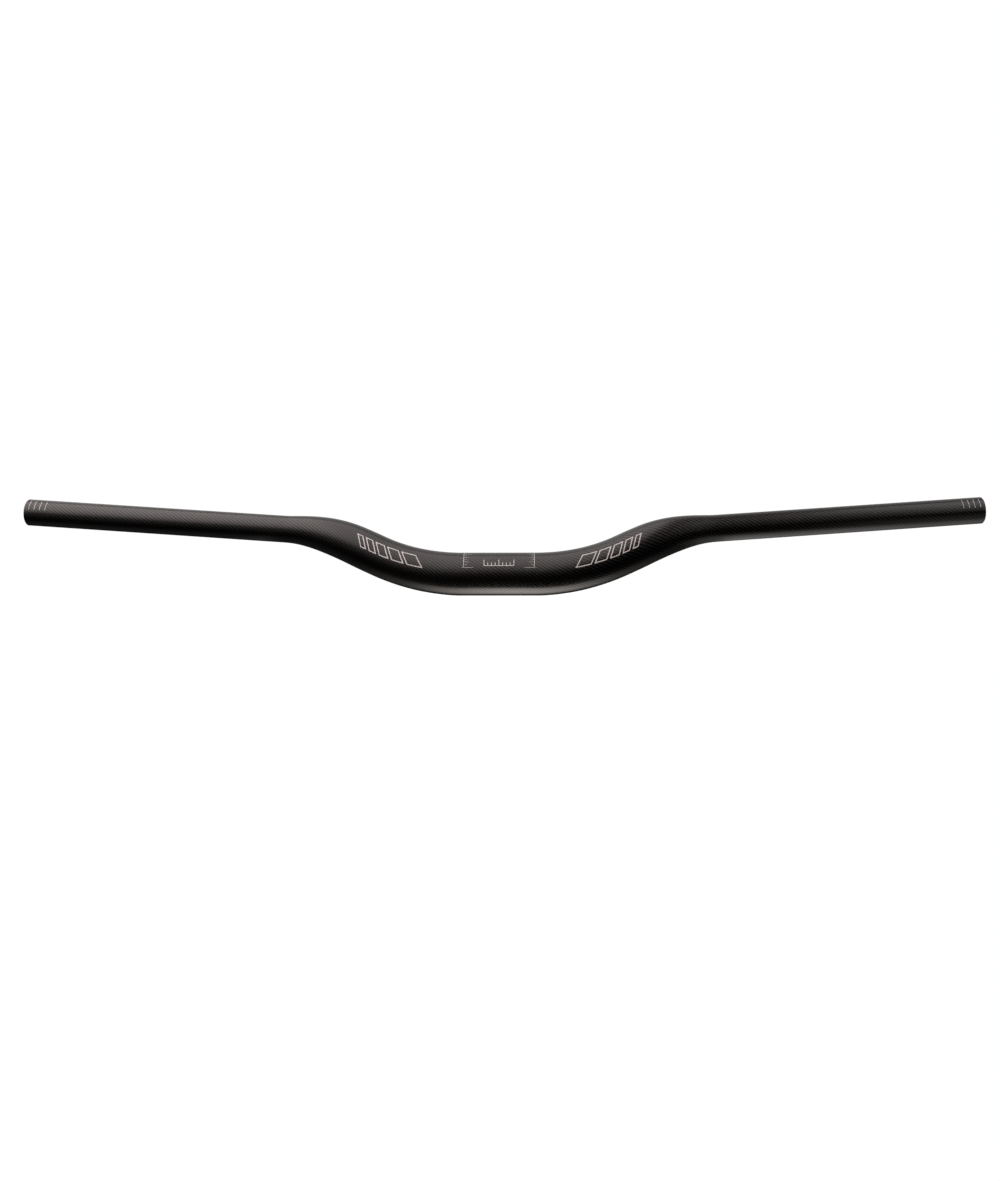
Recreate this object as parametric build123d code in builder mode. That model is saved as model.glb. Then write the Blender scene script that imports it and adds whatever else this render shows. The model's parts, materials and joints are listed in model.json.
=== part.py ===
"""Riser handlebar: one hollow, moulded carbon tube, bent up and back to two straight grips.

The origin is the centre of the stem clamp. X runs along the clamp, Y points back to the rider and Z
points up. Each half is a straight clamp, an inner bend, a straight flank, an outer bend and a grip.
"""

import os
from math import cos, radians, sin, tan

from build123d import *

# Clamp, the straight middle that the stem holds
CLAMP_DIAMETER = 35.0
CLAMP_LENGTH = 58.0

# Grips
GRIP_DIAMETER = 22.2
BAR_WIDTH = 800.0  # between the centres of the two end faces
UPSWEEP = 4.0
BACKSWEEP = 8.0

# Bends, along the axis of the tube
RISE = 35.0  # from the clamp's axis to the corner where the flank meets the grip
INNER_BEND_RADIUS = 163.0
OUTER_BEND_RADIUS = 158.0
FLANK_LENGTH = 19.6  # straight run between the two bends

# Taper from the clamp to the grip
WAIST_DIAMETER = 33.2  # where the inner bend meets the flank
TAPER_RUNOUT = 7.0  # straight run past the outer bend, over which the taper ends
TAPER_HOLD = 1.53  # above 1, the flank keeps its size for longer before it narrows
TAPER_SECTIONS = 14

# Wall and ends
WALL = 2.4
END_CHAMFER = 0.6

# Search for the flank's slope
STEEPEST_SLOPE = 85.0
HALVINGS = 50

CLAMP_WAY = Vector(1, 0, 0)


def swept_back(slope):
    """Direction of a run that climbs at this slope, on the plane swept back by BACKSWEEP."""
    level = cos(radians(slope))
    return Vector(level * cos(radians(BACKSWEEP)), level * sin(radians(BACKSWEEP)), sin(radians(slope)))


GRIP_WAY = swept_back(UPSWEEP)


def turn(before, after):
    """Angle between two runs, in radians."""
    return radians(before.get_angle(after))


def corner_distance(flank_way):
    """Distance between the inner and outer corners of the axis, for a flank along this direction."""
    inner_tangent = INNER_BEND_RADIUS * tan(turn(CLAMP_WAY, flank_way) / 2)
    outer_tangent = OUTER_BEND_RADIUS * tan(turn(flank_way, GRIP_WAY) / 2)
    return inner_tangent + FLANK_LENGTH + outer_tangent


def flank_direction():
    """Direction of the flank with which the two bends lift the axis by RISE, found by halving."""
    low, high = UPSWEEP, STEEPEST_SLOPE
    for _ in range(HALVINGS):
        way = swept_back((low + high) / 2)
        if corner_distance(way) * way.Z < RISE:
            low = (low + high) / 2
        else:
            high = (low + high) / 2
    return way


# Axis of the right half, from the middle of the clamp to the end of the grip
flank_way = flank_direction()
inner_turn = turn(CLAMP_WAY, flank_way)
outer_turn = turn(flank_way, GRIP_WAY)
inner_corner = CLAMP_WAY * (CLAMP_LENGTH / 2 + INNER_BEND_RADIUS * tan(inner_turn / 2))
outer_corner = inner_corner + flank_way * corner_distance(flank_way)
tip = outer_corner + GRIP_WAY * ((BAR_WIDTH / 2 - outer_corner.X) / GRIP_WAY.X)

with BuildLine() as axis_line:
    FilletPolyline(
        (0, 0, 0), inner_corner, outer_corner, tip, radius=[INNER_BEND_RADIUS, OUTER_BEND_RADIUS]
    )
axis = axis_line.wire()

# Distances along the axis
taper_start = CLAMP_LENGTH / 2
waist = taper_start + INNER_BEND_RADIUS * inner_turn
taper_end = waist + FLANK_LENGTH + OUTER_BEND_RADIUS * outer_turn + TAPER_RUNOUT
tapered_axis = axis.trim(taper_start / axis.length, taper_end / axis.length)


def eased(start, end, share):
    """A value that leaves start and reaches end with no slope, at this share of the way."""
    return start + (end - start) * share * share * (3 - 2 * share)


def diameter_at(distance):
    """Outside diameter of the tapered tube at this distance along the axis."""
    if distance < waist:
        return eased(CLAMP_DIAMETER, WAIST_DIAMETER, (distance - taper_start) / (waist - taper_start))
    return eased(WAIST_DIAMETER, GRIP_DIAMETER, ((distance - waist) / (taper_end - waist)) ** TAPER_HOLD)


def plane_at(distance):
    """Plane across the tube at this distance along the axis."""
    centre = axis.position_at(distance, PositionMode.LENGTH)
    return Plane(centre, x_dir=(0, 0, 1), z_dir=axis.tangent_at(distance, PositionMode.LENGTH))


with BuildPart() as handlebar:
    # Right side: first the outside, then the bore, one wall further in
    for inset, mode in ((0, Mode.ADD), (WALL, Mode.SUBTRACT)):
        for section in range(TAPER_SECTIONS + 1):
            distance = taper_start + (taper_end - taper_start) * section / TAPER_SECTIONS
            with BuildSketch(plane_at(distance)):
                Circle(diameter_at(distance) / 2 - inset)
        sweep(path=tapered_axis, multisection=True, mode=mode)

        with BuildSketch(plane_at(taper_end)):
            Circle(GRIP_DIAMETER / 2 - inset)
        extrude(amount=axis.length - taper_end, mode=mode)

    mirror(about=Plane.YZ)

    # Clamp, between the two sides
    with BuildSketch(Plane.YZ.offset(-CLAMP_LENGTH / 2)):
        Circle(CLAMP_DIAMETER / 2)
        Circle(CLAMP_DIAMETER / 2 - WALL, mode=Mode.SUBTRACT)
    extrude(amount=CLAMP_LENGTH)

    # Inner and outer rims of the two cut ends
    chamfer(handlebar.faces().filter_by(GeomType.PLANE).edges(), END_CHAMFER)

handlebar.part.label = "handlebar"

os.makedirs("parts", exist_ok=True)
export_step(handlebar.part, "parts/handlebar.step")
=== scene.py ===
"""Riser handlebar: a moulded carbon tube with printed marks, in a plain white studio.

All sizes are in metres. X runs along the clamp, Y points back to the rider and Z points up. The tube
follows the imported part: its mounts give the clamp, the grips and the bore, and each half runs along the
clamp, an inner bend, a flank, an outer bend and a grip.
"""

import json
from collections import namedtuple
from math import atan2, ceil, cos, hypot, pi, radians, sin, tan

import bpy
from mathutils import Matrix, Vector


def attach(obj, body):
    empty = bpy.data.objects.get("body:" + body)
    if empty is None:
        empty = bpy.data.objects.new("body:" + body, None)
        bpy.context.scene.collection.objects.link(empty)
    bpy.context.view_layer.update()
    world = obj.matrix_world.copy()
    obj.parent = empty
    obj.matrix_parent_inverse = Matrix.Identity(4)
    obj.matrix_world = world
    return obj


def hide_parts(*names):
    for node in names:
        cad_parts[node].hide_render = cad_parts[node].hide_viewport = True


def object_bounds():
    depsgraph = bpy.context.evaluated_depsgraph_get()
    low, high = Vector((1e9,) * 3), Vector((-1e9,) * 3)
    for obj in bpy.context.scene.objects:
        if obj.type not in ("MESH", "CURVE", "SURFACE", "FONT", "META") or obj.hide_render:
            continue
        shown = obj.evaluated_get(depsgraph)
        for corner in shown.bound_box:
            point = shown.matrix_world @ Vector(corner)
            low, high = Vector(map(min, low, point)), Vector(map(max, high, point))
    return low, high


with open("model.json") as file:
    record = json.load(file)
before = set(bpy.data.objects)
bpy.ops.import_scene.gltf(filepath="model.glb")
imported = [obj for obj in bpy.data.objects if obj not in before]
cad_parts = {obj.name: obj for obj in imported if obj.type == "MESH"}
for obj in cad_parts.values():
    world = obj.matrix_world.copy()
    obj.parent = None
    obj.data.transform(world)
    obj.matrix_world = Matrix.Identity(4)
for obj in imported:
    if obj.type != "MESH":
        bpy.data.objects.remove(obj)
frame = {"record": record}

cad_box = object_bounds()

MM = 0.001
FULL_TURN = 2 * pi

# A smooth change from start to end, while something else goes from low to high
Ramp = namedtuple("Ramp", "low high start end", defaults=(0.0, 1.0))

# Bends and taper of the tube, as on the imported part
RISE = 35.0 * MM  # from the clamp's axis to the corner where the flank meets the grip
INNER_BEND_RADIUS = 163.0 * MM
OUTER_BEND_RADIUS = 158.0 * MM
WAIST_RADIUS = 16.6 * MM  # where the inner bend meets the flank
TAPER_HOLD = 1.53  # above 1, the flank keeps its size for longer before it narrows
END_CHAMFER = 0.6 * MM
SETTLING_ROUNDS = 30  # of the search for the flank's direction

# Mesh of the tube
RING_CORNERS = 96
CLAMP_STEP = 4.0 * MM  # longest distance between two rings
TAPER_STEP = 2.0 * MM
GRIP_STEP = 16.0 * MM
SHARP_ANGLE = radians(30)

# Cloth of the skin. The map repeats along the tube after a whole number of tows.
HOOP_TOW = 0.98 * MM  # width of a tow that goes round the tube, measured along X
LENGTH_TOW = 0.7 * MM  # width of a tow that goes along it
TOWS_ALONG = 56  # hoop tows on the map, which is then about as wide as the clamp
TOWS_ROUND = 178  # lengthwise tows on the map, which is a little over the clamp's girth
TWILL_REPEAT = 4  # tows after which the two-by-two twill repeats
CLOTH_MAP = "OFBake"
CLOTH_MIDDLE = radians(45)  # round the tube from its front, where the cloth lies straight
SKIN_V = 0.45  # height on the map of that line
BORE_V = 0.91, 0.94
CUT_V = 0.95, 0.99

# Finish of the skin. A tone of 0 is black and 1 is the lightest grey.
WARMTH = 1.09, 1.0, 0.96  # red, green and blue of a grey on lacquered carbon
CARBON_GREYS = 0.0, 0.052
TOW_TONES = 0.66, -0.09  # of a hoop tow and of a lengthwise one
CROWN_TONE = 0.25  # added on the crown of a tow
FIBRE_TONE = 0.2  # added on its palest fibres
FIBRE_SCALE, FIBRE_DETAIL = 9.0, 2.0  # of the streaks across a tow
FIBRE_SHARE = 0.6  # of the streaks in a tow's look, the rest being its own tone
TOW_ROUGHNESS = 0.4, 0.3  # of a hoop tow and of a lengthwise one
FIBRE_ROUGHNESS = 0.06
TOW_BUMP = 0.9, 0.08 * MM  # strength and height
COAT_WEIGHT = 0.85
COAT_ROUGHNESS = 0.26
COAT_IOR = 1.5
COAT_GREY = 0.9

# Finish of the cut ends, the bore and the ink: the two greys that the grain mixes, the scale and detail of
# the grain, the roughness where it is 0 and 1, and the strength and height of its bump
PLIES = 9
PLY_SHARE = 0.5  # of the plies in the look of a cut end, the rest being its grain
CUT_GREYS = 0.012, 0.045
CUT_GRAIN = 160.0, 3.0
CUT_ROUGHNESS = 0.55, 0.7
CUT_BUMP = 0.3, 0.04 * MM
BORE_GREYS = 0.008, 0.03
BORE_CREASES = 90.0, 4.0
BORE_ROUGHNESS = 0.4, 0.6
BORE_BUMP = 0.4, 0.1 * MM
INK_GREYS = 0.62, 0.76
INK_GRAIN = 900.0, 2.0
INK_COVER = Ramp(0.3, 0.7)  # from thin ink to full ink, over the grain
INK_ROUGHNESS = 0.4, 0.5

# Printed marks. Angles run round the tube, up from its front.
INK_PROUD = 0.03 * MM
INK_SUNK = 0.05 * MM
INK_STEP = 1.0 * MM  # longest side of a mark's facets
SCALE_PLACE = 28.5 * MM  # of the clamp's two roll scales, from its middle
SCALE_LINE = 0.32 * MM
SCALE_TICK = 0.2 * MM
SCALE_SHORT, SCALE_MIDDLE, SCALE_LONG = 2.3 * MM, 4.0 * MM, 6.1 * MM
SCALE_HALF = [SCALE_SHORT, SCALE_MIDDLE, SCALE_SHORT, SCALE_MIDDLE, SCALE_SHORT]  # ticks beside the long one
SCALE_FOOT = 8.2 * MM, 1.5 * MM  # length of the first and last tick inwards and outwards
SCALE_START = radians(17.4)
SCALE_STEP = radians(8.1)
CENTRE_STEP = 3.0 * MM  # of the scale in the middle of the clamp, for centring the stem
CENTRE_STEPS = 4  # to each side
CENTRE_ANGLE = radians(22)
CENTRE_LINE = 0.5 * MM
CENTRE_TICK_LENGTH = 2.6 * MM
CENTRE_LONG_TICK = 5.2 * MM  # in the middle and at both ends
FRAME_PLACE = 61.0 * MM  # from the clamp's middle to the first of the slanted frames on each flank
FRAME_WIDTH = 13.0 * MM  # of the first frame
FRAME_SHRINK = 0.8  # from each frame to the next
FRAMES = 5
FRAME_GAP = 2.4 * MM
FRAME_LINE = 0.75 * MM
FRAME_LOW, FRAME_HIGH = radians(6), radians(40)
FRAME_LEAN = 0.8  # distance outwards along the tube for each distance up round it
TRIM_FIRST = 4.5 * MM  # from the end to the first line at which the bar may be cut
TRIM_STEP = 4.8 * MM
TRIM_LINES = 4
TRIM_LINE = 0.36 * MM
TRIM_START, TRIM_END = radians(12), radians(58)

# Floor, with a white glow that only the camera and glass see
FLOOR_REACH = 6.0
FLOOR_GREY = 0.4  # of its surface, which keeps the shadow
FLOOR_WHITE = 0.8, 1.05  # near the bar and far from it
FLOOR_FAR_X, FLOOR_FAR_Y = 2.2, 5.0  # how fast a distance along X and Y counts as far, when squared
FLOOR_FAR = Ramp(0.3, 1.2)

# Painted glow of the floor, which only reflections see: bands of light painted into its emission, standing
# in for studio lamps. Its ramps run along X, or along Y once it is swept back.
SHEEN_SWEEP = 0.14  # distance back for each distance out along X
SHEEN_FRONT = Ramp(-0.048, -0.012)
SHEEN_REAR = Ramp(0.01, 0.06, 1.0, 0.3)
SHEEN_LEFT = Ramp(-0.24, -0.2, 0.02, 0.17)
SHEEN_LEFT_END = Ramp(-0.214, -0.198, 1.0, 0.0)
SHEEN_RIGHT_END = Ramp(0.178, 0.21, 0.05, 1.05)
SHEEN_RIGHT = Ramp(0.212, 0.25, 1.0, 0.78)
SHEEN_TIP = Ramp(0.3, 0.4, 1.0, 0.75)
SPILL_FRONT = Ramp(-0.22, -0.03)  # a faint light in front of the right grip
SPILL_RIGHT = Ramp(0.24, 0.4, 0.0, 0.2)
APRON_FRONT = Ramp(-0.2, -0.07, 0.08, 0.0)  # a fainter one, further in front of the left half
APRON_LEFT = Ramp(-0.15, -0.03, 1.0, 0.0)

# Glow of the studio, which reflections see behind the bar. The ramps run over the way that a ray goes.
STUDIO_BEHIND = Ramp(0.1, 0.6)  # along Y
STUDIO_SIDES = Ramp(-0.35, 0.0, 0.7, 0.45)  # along X
STUDIO_DIM = 0.02  # everywhere

# Colours of the lamps
WHITE_LIGHT = 1.0, 1.0, 1.0
ROSE_LIGHT = 1.05, 1.0, 1.0
AMBER_LIGHT = 1.025, 1.0, 0.965

# Light in the floor under the clamp
BELLY_LIFT = 0.2 * MM
BELLY_SIDES = -0.16, 0.22
BELLY_EDGES = 0.04, -0.02  # the rear one first, so that it shines up
BELLY_RADIANCE = 2.35
BELLY_FRONT = Ramp(-0.0154, -0.0129)
BELLY_REAR = Ramp(-0.0098, -0.0041, 1.0, 0.0)
BELLY_FRONT_BEND, BELLY_REAR_BEND = 0.1, 0.5  # how closely the strip's two edges follow the bends
BELLY_CORE_PLACE, BELLY_CORE = 0.012, Ramp(0.0, 0.1, 0.95, 0.0)
BELLY_TAIL_PLACE, BELLY_TAIL = 0.015, Ramp(0.0, 0.16, 0.27, 0.0)

# Camera, from the outline in the photograph
CAMERA_PLACE = Vector((42.4, -1399.4, -13.3)) * MM
CAMERA_YAW = 0.030
CAMERA_ROLL = 0.0008
LENS = 52.52
SENSOR_HEIGHT = 36.0

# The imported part's mounts
mounts = {mount["name"]: mount for mount in frame["record"]["mounts"]}
clamp, grip, end_bore = mounts["stem_clamp"], mounts["right_grip"], mounts["right_end_bore"]
clamp_radius = clamp["dims"]["r_mm"] * MM
clamp_half = clamp["dims"]["length_mm"] * MM / 2
grip_radius = grip["dims"]["r_mm"] * MM
grip_length = grip["dims"]["length_mm"] * MM
wall = grip_radius - end_bore["dims"]["r_mm"] * MM

# Corners of the tube's axis, on its right half
clamp_way, grip_way = Vector(clamp["axis"]), Vector(grip["axis"])
grip_middle = Vector(grip["pos_m"])
outer_corner = grip_middle + grip_way * ((RISE - grip_middle.z) / grip_way.z)
tip = grip_middle + grip_way * (grip_length / 2 + END_CHAMFER)
inner_corner = clamp_way * clamp_half
for _ in range(SETTLING_ROUNDS):
    flank_way = (outer_corner - inner_corner).normalized()
    inner_corner = clamp_way * (clamp_half + INNER_BEND_RADIUS * tan(clamp_way.angle(flank_way) / 2))

# Where each run of the axis begins, and how far that is from the middle of the clamp
inner_turn, outer_turn = clamp_way.angle(flank_way), flank_way.angle(grip_way)
flank_point = inner_corner + flank_way * INNER_BEND_RADIUS * tan(inner_turn / 2)
outer_bend_point = outer_corner - flank_way * OUTER_BEND_RADIUS * tan(outer_turn / 2)
grip_point = outer_corner + grip_way * OUTER_BEND_RADIUS * tan(outer_turn / 2)
flank_start = clamp_half + INNER_BEND_RADIUS * inner_turn
outer_bend_start = flank_start + (outer_bend_point - flank_point).length
grip_start = outer_bend_start + OUTER_BEND_RADIUS * outer_turn
half_length = grip_start + (tip - grip_point).length
taper_end = half_length - END_CHAMFER - grip_length

Run = namedtuple("Run", "start point way radius turned", defaults=(None, None))
RUNS = [
    Run(0, Vector(), clamp_way),
    Run(clamp_half, clamp_way * clamp_half, clamp_way, INNER_BEND_RADIUS, flank_way),
    Run(flank_start, flank_point, flank_way),
    Run(outer_bend_start, outer_bend_point, flank_way, OUTER_BEND_RADIUS, grip_way),
    Run(grip_start, grip_point, grip_way),
]


def on_axis(distance):
    """Centre and direction of the tube at this distance from the clamp's middle, negative to the left."""
    run = [run for run in RUNS if run.start <= abs(distance)][-1]
    gone = abs(distance) - run.start
    if run.radius is None:
        centre, way = run.point + run.way * gone, run.way.copy()
    else:
        aside = (run.turned - run.way * run.way.dot(run.turned)).normalized()
        angle = gone / run.radius
        centre = run.point + (run.way * sin(angle) + aside * (1 - cos(angle))) * run.radius
        way = run.way * cos(angle) + aside * sin(angle)
    if distance < 0:
        centre.x = -centre.x
        way.yz = -way.yz
    return centre, way


def across(distance):
    """Centre of the tube at this distance, with the ways to its front and its top."""
    centre, way = on_axis(distance)
    top = (Vector((0, 0, 1)) - way * way.z).normalized()
    return centre, way.cross(top), top


def tube_point(distance, angle, radius):
    """Point at this distance along the tube, angle up from its front and radius from its axis."""
    centre, front, top = across(distance)
    return centre + (front * cos(angle) + top * sin(angle)) * radius


def eased(start, end, share):
    """A value that leaves start and reaches end with no slope, at this share of the way."""
    return start + (end - start) * share * share * (3 - 2 * share)


def tube_radius(distance):
    """Outside radius of the tube at this distance from the clamp's middle."""
    distance = min(max(abs(distance), clamp_half), taper_end)
    if distance < flank_start:
        return eased(clamp_radius, WAIST_RADIUS, (distance - clamp_half) / (flank_start - clamp_half))
    share = (distance - flank_start) / (taper_end - flank_start)
    return eased(WAIST_RADIUS, grip_radius, share**TAPER_HOLD)


def evenly(start, end, longest):
    """Places from start to end in equal steps, none over longest."""
    steps = ceil(abs(end - start) / longest)
    return [start + (end - start) * step / steps for step in range(steps + 1)]


class Wire:
    """An output in a tree of shader nodes. Arithmetic on wires and numbers adds Math nodes."""

    def __init__(self, tree, output=None):
        self.tree = tree
        self.output = output

    def node(self, kind, settings=None, inputs=None, output=0):
        """Adds a node, with its settings first and then the values or wires of its sockets."""
        made = self.tree.nodes.new("ShaderNode" + kind)
        for name, value in (settings or {}).items():
            setattr(made, name, value)
        for socket, value in (inputs or {}).items():
            if isinstance(value, Wire):
                self.tree.links.new(value.output, made.inputs[socket])
            else:
                made.inputs[socket].default_value = value
        return Wire(self.tree, made.outputs[output] if made.outputs else None)

    def surface(self, inputs):
        """Ends a material's tree with a Principled BSDF that has these values or wires."""
        self.node("OutputMaterial", None, {"Surface": self.node("BsdfPrincipled", None, inputs)})

    def math(self, operation, *values):
        """Adds a Math node on these values or wires."""
        return self.node("Math", {"operation": operation}, dict(enumerate(values)))

    def over(self, ramp):
        """Goes smoothly from the ramp's start to its end while this wire goes from its low to its high."""
        sockets = {"Value": self, "From Min": ramp.low, "From Max": ramp.high}
        sockets |= {"To Min": ramp.start, "To Max": ramp.end}
        return self.node("MapRange", {"interpolation_type": "SMOOTHSTEP"}, sockets)

    def span(self, start, end):
        """Goes evenly from start to end, numbers or wires, as this wire goes from 0 to 1."""
        return self * (end - start) + start

    def mix_greys(self, greys):
        """Colour that goes from the first warm grey to the second as this wire goes from 0 to 1."""
        first, second = (warm_grey(grey) for grey in greys)
        return self.node("Mix", {"data_type": "RGBA"}, {0: self, 6: first, 7: second}, output=2)

    def noise(self, scale, detail):
        """Noise over the place that this wire holds."""
        return self.node("TexNoise", None, {"Vector": self, "Scale": scale, "Detail": detail})

    def bump(self, strength, height):
        """Normal of a surface that this wire raises by up to this height."""
        return self.node("Bump", None, {"Strength": strength, "Distance": height, "Height": self})

    def part(self, axis):
        """The X, Y or Z of a vector."""
        return self.node("SeparateXYZ", None, {0: self}, output=axis)

    def at_least(self, other):
        """The greater of the two."""
        return self.math("MAXIMUM", self, other)

    def floor(self):
        """The whole number at or below this wire."""
        return self.math("FLOOR", self)

    def fraction(self):
        """What is left of this wire above its whole number."""
        return self.math("FRACT", self)

    def wave(self):
        """Sine of this wire, in half turns."""
        return self.math("SINE", self * pi)

    def __abs__(self):
        return self.math("ABSOLUTE", self)

    def __add__(self, other):
        return self.math("ADD", self, other)

    def __sub__(self, other):
        return self.math("SUBTRACT", self, other)

    def __rsub__(self, other):
        return self.math("SUBTRACT", other, self)

    def __mul__(self, other):
        return self.math("MULTIPLY", self, other)

    def __mod__(self, other):
        return self.math("FLOORED_MODULO", self, other)

    def __lt__(self, other):
        return self.math("LESS_THAN", self, other)

    __radd__ = __add__
    __rmul__ = __mul__


def warm_grey(value):
    """Grey of this brightness with the faint warmth of lacquered carbon."""
    return (*(value * tint for tint in WARMTH), 1.0)


def new_material(name):
    """A material with no nodes yet, and a wire to start its tree from."""
    made = bpy.data.materials.new(name)
    made.use_nodes = True
    made.node_tree.nodes.clear()
    return made, Wire(made.node_tree)


def cloth_place(start):
    """Place on the bar's cloth map."""
    return start.node("UVMap", {"uv_map": CLOTH_MAP})


def carbon_twill():
    """Skin: a two-by-two twill of carbon tows along and round the tube, under a satin clear coat."""
    made, start = new_material("carbon_twill")
    place = cloth_place(start)
    along = place.part("X").fraction() * TOWS_ALONG
    around = place.part("Y") * TOWS_ROUND
    hoop, lengthwise = along.floor(), around.floor()
    lengthwise_on_top = (lengthwise + hoop) % TWILL_REPEAT < TWILL_REPEAT / 2

    # Each tow rises over two others, half a wave long, and is round across
    tow_wave = 2 / TWILL_REPEAT
    length_rise = ((lengthwise + along) % TWILL_REPEAT * tow_wave).wave()
    hoop_rise = ((around + hoop) % TWILL_REPEAT * tow_wave - 1).wave()
    length_height = length_rise * around.fraction().wave()
    hoop_height = hoop_rise * along.fraction().wave()
    height = lengthwise_on_top.span(hoop_height, length_height)

    def streaks(run, tow):
        """Fine streaks across a tow, for its fibres, and a tone that no other tow has."""
        sockets = {"W": run, "Scale": FIBRE_SCALE, "Detail": FIBRE_DETAIL}
        fibres = start.node("TexNoise", {"noise_dimensions": "1D"}, sockets)
        own_tone = start.node("TexWhiteNoise", {"noise_dimensions": "1D"}, {"W": tow})
        return fibres * FIBRE_SHARE + own_tone * (1 - FIBRE_SHARE)

    fibre = lengthwise_on_top.span(streaks(along, hoop), streaks(around, lengthwise))
    tone = lengthwise_on_top.span(*TOW_TONES) + height * CROWN_TONE + fibre * FIBRE_TONE
    start.surface({
        "Base Color": tone.mix_greys(CARBON_GREYS),
        "Metallic": 1.0,
        "Roughness": lengthwise_on_top.span(*TOW_ROUGHNESS) + fibre * FIBRE_ROUGHNESS,
        "Normal": height.bump(*TOW_BUMP),
        "Coat Weight": COAT_WEIGHT,
        "Coat Roughness": COAT_ROUGHNESS,
        "Coat IOR": COAT_IOR,
        "Coat Tint": warm_grey(COAT_GREY),
    })
    return made


def cut_laminate():
    """Cut ends: matte plies, seen as fine rings across the wall."""
    made, start = new_material("cut_laminate")
    place = cloth_place(start)
    depth = (place.part("Y") - CUT_V[0]) * (1 / (CUT_V[1] - CUT_V[0]))
    plies = (depth * PLIES).fraction().wave()
    grain = place.noise(*CUT_GRAIN)
    tone = plies * PLY_SHARE + grain * (1 - PLY_SHARE)
    start.surface({
        "Base Color": tone.mix_greys(CUT_GREYS),
        "Roughness": grain.span(*CUT_ROUGHNESS),
        "Normal": grain.bump(*CUT_BUMP),
    })
    return made


def bore_laminate():
    """Bore: bare resin with the long creases that the moulding bag leaves."""
    made, start = new_material("bore_laminate")
    creases = cloth_place(start).noise(*BORE_CREASES)
    start.surface({
        "Base Color": creases.mix_greys(BORE_GREYS),
        "Roughness": creases.span(*BORE_ROUGHNESS),
        "Normal": creases.bump(*BORE_BUMP),
    })
    return made


def pale_ink():
    """Printed marks: pale grey ink, a little thin in places, with a satin surface."""
    made, start = new_material("pale_ink")
    grain = start.node("TexCoord", output="Object").noise(*INK_GRAIN)
    start.surface({
        "Base Color": grain.over(INK_COVER).mix_greys(INK_GREYS),
        "Roughness": grain.span(*INK_ROUGHNESS),
    })
    return made


def add_mesh(name, corners, faces):
    """A new object with this mesh."""
    mesh = bpy.data.meshes.new(name)
    mesh.from_pydata(corners, [], faces)
    made = bpy.data.objects.new(name, mesh)
    bpy.context.scene.collection.objects.link(made)
    return made


def add_bar():
    """The whole tube as one closed mesh: outside, right end, bore and left end, in one loop of rings."""
    half = (
        evenly(0, clamp_half, CLAMP_STEP)
        + evenly(clamp_half, taper_end, TAPER_STEP)[1:]
        + evenly(taper_end, half_length - END_CHAMFER, GRIP_STEP)[1:]
    )
    whole = [-distance for distance in reversed(half[1:])] + half
    rims = grip_radius - END_CHAMFER, grip_radius - wall + END_CHAMFER
    rings = [(distance, tube_radius(distance)) for distance in whole]
    rings += [(half_length, rim) for rim in rims]
    rings += [(distance, tube_radius(distance) - wall) for distance in reversed(whole)]
    rings += [(-half_length, rim) for rim in reversed(rims)]

    skin, cut, bore = 0, 1, 2
    long_bands, end_bands = len(whole) - 1, len(rims) + 1
    zones = [skin] * long_bands + [cut] * end_bands + [bore] * long_bands + [cut] * end_bands
    angles = [CLOTH_MIDDLE - pi + FULL_TURN * corner / RING_CORNERS for corner in range(RING_CORNERS + 1)]

    corners, faces = [], []
    for distance, radius in rings:
        centre, front, top = across(distance)
        corners += [centre + (front * cos(angle) + top * sin(angle)) * radius for angle in angles[:-1]]
    for band in range(len(rings)):
        here, there = band * RING_CORNERS, (band + 1) % len(rings) * RING_CORNERS
        for corner in range(RING_CORNERS):
            beside = (corner + 1) % RING_CORNERS
            faces.append((here + corner, there + corner, there + beside, here + beside))
    bar = add_mesh("carbon_bar", corners, faces)

    def map_place(zone, ring, corner):
        """Place on the cloth map of a corner of a ring, for a face in this zone."""
        distance, radius = rings[ring % len(rings)]
        share = corner / RING_CORNERS
        if zone == skin:
            place = corners[ring * RING_CORNERS + corner % RING_CORNERS]
            run = place.x / (TOWS_ALONG * HOOP_TOW) + 0.5
            return run, SKIN_V + (angles[corner] - CLOTH_MIDDLE) * radius / (TOWS_ROUND * LENGTH_TOW)
        if zone == bore:
            return distance / (TOWS_ALONG * HOOP_TOW), BORE_V[0] + (BORE_V[1] - BORE_V[0]) * share
        depth = (grip_radius - radius) / wall
        return share, CUT_V[0] + (CUT_V[1] - CUT_V[0]) * depth

    cloth = bar.data.uv_layers.new(name=CLOTH_MAP)
    for index, face in enumerate(bar.data.polygons):
        band, corner = divmod(index, RING_CORNERS)
        face.material_index = zones[band]
        sides = ((band, corner), (band + 1, corner), (band + 1, corner + 1), (band, corner + 1))
        for loop, (ring, at) in zip(face.loop_indices, sides):
            cloth.data[loop].uv = map_place(zones[band], ring, at)
    for material in (carbon_twill(), cut_laminate(), bore_laminate()):
        bar.data.materials.append(material)
    bar.data.shade_smooth()
    bar.data.set_sharp_from_angle(angle=SHARP_ANGLE)
    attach(bar, "root")
    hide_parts("handlebar")


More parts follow.
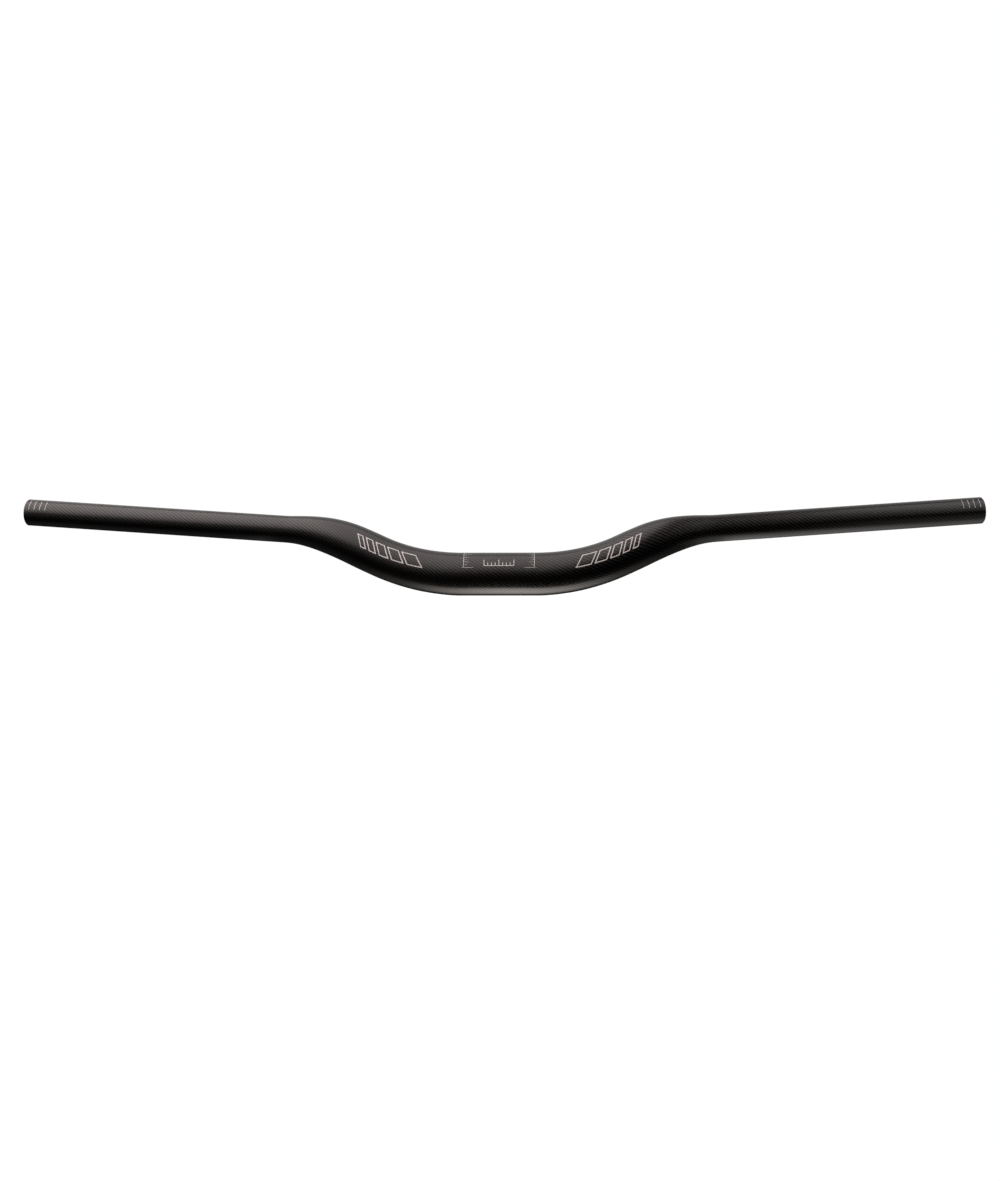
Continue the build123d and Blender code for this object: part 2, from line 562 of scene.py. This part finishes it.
class Print:
    """Marks printed on the tube as one piece: thin four-sided patches that follow its surface."""

    def __init__(self, side=1):
        self.side = side  # -1 mirrors every mark to the left half
        self.corners = []
        self.faces = []

    def patch(self, *outline):
        """A patch with these four corners, each a distance along the tube and an angle round it."""
        (d0, a0), (d1, a1), (d2, a2), (d3, a3) = outline
        radius = tube_radius(d0)
        columns = ceil(max(abs(d1 - d0), abs(d2 - d3), abs(a1 - a0) * radius) / INK_STEP)
        rows = ceil(max(abs(a3 - a0), abs(a2 - a1)) * radius / INK_STEP)
        base, width = len(self.corners), columns + 1
        layer = width * (rows + 1)
        for lift in (INK_PROUD, -INK_SUNK):
            for row in range(rows + 1):
                for column in range(width):
                    x, y = column / columns, row / rows
                    distance = (d0 * (1 - x) + d1 * x) * (1 - y) + (d3 * (1 - x) + d2 * x) * y
                    angle = (a0 * (1 - x) + a1 * x) * (1 - y) + (a3 * (1 - x) + a2 * x) * y
                    height = tube_radius(distance) + lift
                    self.corners.append(tube_point(self.side * distance, angle, height))
        for row in range(rows):
            for column in range(columns):
                first = base + row * width + column
                top = (first, first + 1, first + width + 1, first + width)
                self.faces += [top, tuple(corner + layer for corner in reversed(top))]
        rim = [base + column for column in range(columns)]
        rim += [base + columns + row * width for row in range(rows)]
        rim += [base + layer - 1 - column for column in range(columns)]
        rim += [base + (rows - row) * width for row in range(rows)]
        for here, there in zip(rim, rim[1:] + rim[:1]):
            self.faces.append((here, here + layer, there + layer, there))

    def block(self, start, end, low, high):
        """A patch between two distances along the tube and two angles round it."""
        self.patch((start, low), (end, low), (end, high), (start, high))

    def slanted_frame(self, start, end):
        """An outline that leans outwards, between two distances along the tube at its lower side."""
        radius = tube_radius(start)

        def ring(inset):
            """The four corners, this far inside the outline."""
            along, round_tube = inset * hypot(1, FRAME_LEAN), inset / radius
            low, high = FRAME_LOW + round_tube, FRAME_HIGH - round_tube
            low_shift, high_shift = (FRAME_LEAN * radius * (angle - FRAME_LOW) for angle in (low, high))
            return (
                (start + along + low_shift, low), (end - along + low_shift, low),
                (end - along + high_shift, high), (start + along + high_shift, high),
            )

        outer, inner = ring(0), ring(FRAME_LINE)
        for here in range(4):
            there = (here + 1) % 4
            self.patch(outer[here], outer[there], inner[there], inner[here])

    def finish(self, name, ink):
        """Makes the piece from the patches."""
        faces = self.faces if self.side > 0 else [face[::-1] for face in self.faces]
        piece = add_mesh(name, self.corners, faces)
        piece.data.materials.append(ink)
        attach(piece, "root")


def add_roll_scale(side, name, ink):
    """Scale at one end of the clamp, for setting how far the bar is rolled in the stem."""
    marks = Print(side)
    half_tick = SCALE_TICK / 2 / clamp_radius
    line_start, line_end = SCALE_PLACE - SCALE_LINE / 2, SCALE_PLACE + SCALE_LINE / 2
    inwards, outwards = SCALE_FOOT
    lengths = SCALE_HALF + [SCALE_LONG] + SCALE_HALF
    last = SCALE_START + SCALE_STEP * (len(lengths) + 1)
    marks.block(line_start, line_end, SCALE_START + half_tick, last - half_tick)
    for foot in (SCALE_START, last):
        marks.block(SCALE_PLACE - inwards, SCALE_PLACE + outwards, foot - half_tick, foot + half_tick)
    for tick, length in enumerate(lengths, 1):
        angle = SCALE_START + SCALE_STEP * tick
        marks.block(line_start - length, line_start, angle - half_tick, angle + half_tick)
    marks.finish(name, ink)


def add_centre_scale(ink):
    """Scale in the middle of the clamp, for centring the bar in the stem."""
    marks = Print()
    half_line = CENTRE_LINE / 2
    reach = CENTRE_STEP * CENTRE_STEPS + half_line
    top = CENTRE_ANGLE + CENTRE_LINE / clamp_radius
    marks.block(-reach, reach, CENTRE_ANGLE, top)
    for tick in range(-CENTRE_STEPS, CENTRE_STEPS + 1):
        length = CENTRE_TICK_LENGTH if tick % CENTRE_STEPS else CENTRE_LONG_TICK
        place = CENTRE_STEP * tick
        marks.block(place - half_line, place + half_line, top, top + length / clamp_radius)
    marks.finish("centre_scale", ink)


def add_flank_frames(side, name, ink):
    """Row of slanted outlines on one flank, each narrower than the one before."""
    marks = Print(side)
    start, width = FRAME_PLACE, FRAME_WIDTH
    for _ in range(FRAMES):
        marks.slanted_frame(start, start + width)
        start += width + FRAME_GAP
        width *= FRAME_SHRINK
    marks.finish(name, ink)


def add_trim_lines(side, name, ink):
    """Lines at one end, at which the bar may be cut shorter."""
    marks = Print(side)
    for line in range(TRIM_LINES):
        place = half_length - TRIM_FIRST - TRIM_STEP * line
        marks.block(place - TRIM_LINE / 2, place + TRIM_LINE / 2, TRIM_START, TRIM_END)
    marks.finish(name, ink)


def ray_kinds(start):
    """Wires that are 1 for what the camera sees, for what it sees through glass and for reflections."""
    kinds = "Is Camera Ray", "Is Transmission Ray", "Is Glossy Ray"
    return [start.node("LightPath", output=kind) for kind in kinds]


def painted_floor_glow(x, y):
    """How bright the floor's painted glow is in reflections at this place on it."""
    swept = y - abs(x) * SHEEN_SWEEP
    left = x.over(SHEEN_LEFT) * x.over(SHEEN_LEFT_END)
    right = x.over(SHEEN_RIGHT_END) * x.over(SHEEN_RIGHT) * x.over(SHEEN_TIP)
    sheen = swept.over(SHEEN_FRONT) * swept.over(SHEEN_REAR) * (left + right)
    spill = swept.over(SPILL_FRONT) * x.over(SPILL_RIGHT)
    return sheen.at_least(spill) + swept.over(APRON_FRONT) * x.over(APRON_LEFT)


def add_floor():
    """Floor under the clamp: white for the camera; in reflections its lit grey is left out and a painted
    glow in bands shows instead, dark elsewhere.
    """
    outline = [(-FLOOR_REACH, -FLOOR_REACH), (FLOOR_REACH, -FLOOR_REACH)]
    outline += [(FLOOR_REACH, FLOOR_REACH), (-FLOOR_REACH, FLOOR_REACH)]
    floor = add_mesh("floor", [(x, y, cad_box[0].z) for x, y in outline], [(0, 1, 2, 3)])
    made, start = new_material("white_floor")
    seen, through, mirrored = ray_kinds(start)
    place = start.node("TexCoord", output="Object")
    x, y = place.part("X"), place.part("Y")
    far = (x * x * FLOOR_FAR_X + y * y * FLOOR_FAR_Y).over(FLOOR_FAR)
    # In reflections the floor shows no lit grey but a painted glow in bands, which stands in for studio
    # lamps.
    start.surface({
        "Base Color": (1 - mirrored) * FLOOR_GREY,
        "Roughness": 1.0,
        "Specular IOR Level": 0.0,
        "Emission Color": (seen + through) * far.span(*FLOOR_WHITE) + mirrored * painted_floor_glow(x, y),
        "Emission Strength": 1.0,
    })
    floor.data.materials.append(made)


def add_studio():
    """The white studio round the bar, which reflections see behind it and not on the camera's side."""
    world = bpy.data.worlds.new("studio")
    bpy.context.scene.world = world
    world.use_nodes = True
    world.node_tree.nodes.clear()
    start = Wire(world.node_tree)
    seen, through, mirrored = ray_kinds(start)
    way = start.node("TexCoord", output="Generated")
    behind = way.part("Y").over(STUDIO_BEHIND) * way.part("X").over(STUDIO_SIDES)
    white = seen + through + mirrored * behind + STUDIO_DIM
    light = start.node("Background", None, {"Color": white, "Strength": 1.0})
    start.node("OutputWorld", None, {"Surface": light})


def add_softbox(name, sides, front, rear, colour, radiance):
    """A soft lamp between two sides along X and two edges, each a Y and a Z. The camera can't see it.

    Gives a wire in the lamp's nodes, for shine().
    """
    lamp = bpy.data.lights.new(name, "AREA")
    lamp.shape = "RECTANGLE"
    depth_y, depth_z = rear[0] - front[0], rear[1] - front[1]
    lamp.size, lamp.size_y = sides[1] - sides[0], hypot(depth_y, depth_z)
    lamp.energy = radiance * pi * lamp.size * lamp.size_y
    lamp.color = colour
    lamp.use_nodes = True
    lamp.node_tree.nodes.clear()
    made = bpy.data.objects.new(name, lamp)
    made.location = (sum(sides) / 2, (front[0] + rear[0]) / 2, (front[1] + rear[1]) / 2)
    made.rotation_euler = (atan2(depth_z, depth_y), 0, 0)
    made.visible_camera = False
    bpy.context.scene.collection.objects.link(made)
    return Wire(lamp.node_tree)


def shine(start, strength):
    """Gives a lamp this strength, which may change over its face."""
    start.node("OutputLight", None, {"Surface": start.node("Emission", None, {"Strength": strength})})


def add_ceiling_light(name, sides, front, rear, colour, radiance, brighten, swing=0.0):
    """A sloping softbox over the bar, whose ramp along Y brightens it to the rear.

    With some swing, the ramp comes forward as it goes out along X.
    """
    start = add_softbox(name, sides, front, rear, colour, radiance)
    place = start.node("NewGeometry", output="Position")
    shine(start, (place.part("Y") + place.part("X") * swing).over(brighten))


def add_belly_light():
    """A lamp in the floor under the clamp: a strip that widens along the bends and fades to both sides."""
    level = cad_box[0].z + BELLY_LIFT
    front, rear = ((edge, level) for edge in BELLY_EDGES)
    start = add_softbox("belly_light", BELLY_SIDES, front, rear, AMBER_LIGHT, BELLY_RADIANCE)
    place = start.node("NewGeometry", output="Position")
    x, y = place.part("X"), place.part("Y")
    beyond = (abs(x) - clamp_half).at_least(0.0)
    bend = beyond * beyond * (1 / INNER_BEND_RADIUS)
    strip = (y - bend * BELLY_FRONT_BEND).over(BELLY_FRONT) * (y - bend * BELLY_REAR_BEND).over(BELLY_REAR)
    core = abs(x - BELLY_CORE_PLACE).over(BELLY_CORE)
    tail = abs(x - BELLY_TAIL_PLACE).over(BELLY_TAIL)
    shine(start, strip * (core + tail))


def add_camera():
    """The camera, level with the clamp and in front of it."""
    camera = bpy.data.cameras.new("camera")
    camera.sensor_fit = "VERTICAL"
    camera.sensor_height = SENSOR_HEIGHT
    camera.lens = LENS
    made = bpy.data.objects.new("camera", camera)
    made.location = CAMERA_PLACE
    made.rotation_euler = (pi / 2, CAMERA_ROLL, CAMERA_YAW)
    bpy.context.scene.collection.objects.link(made)
    bpy.context.scene.camera = made


add_bar()
ink = pale_ink()
for side, word in ((-1, "left"), (1, "right")):
    add_roll_scale(side, f"{word}_roll_scale", ink)
    add_flank_frames(side, f"{word}_flank_frames", ink)
    add_trim_lines(side, f"{word}_trim_lines", ink)
add_centre_scale(ink)

add_floor()
add_studio()
add_ceiling_light(
    "left_softbox", sides=(-1.75, -0.38), front=(-1.6, 0.01), rear=(0.4, 1.2),
    colour=ROSE_LIGHT, radiance=2.36, brighten=Ramp(-1.7, -0.25),
)
add_ceiling_light(
    "top_softbox", sides=(-0.38, 0.19), front=(-1.4, 0.15), rear=(0.4, 1.15),
    colour=ROSE_LIGHT, radiance=1.5, brighten=Ramp(-1.4, -0.3), swing=-0.4,
)
add_ceiling_light(
    "right_softbox", sides=(0.5, 1.5), front=(-1.6, 0.05), rear=(0.2, 1.085),
    colour=WHITE_LIGHT, radiance=1.5, brighten=Ramp(-0.05, 0.65), swing=1.2,
)
add_belly_light()
add_camera()
bpy.context.scene.view_settings.view_transform = "Standard"
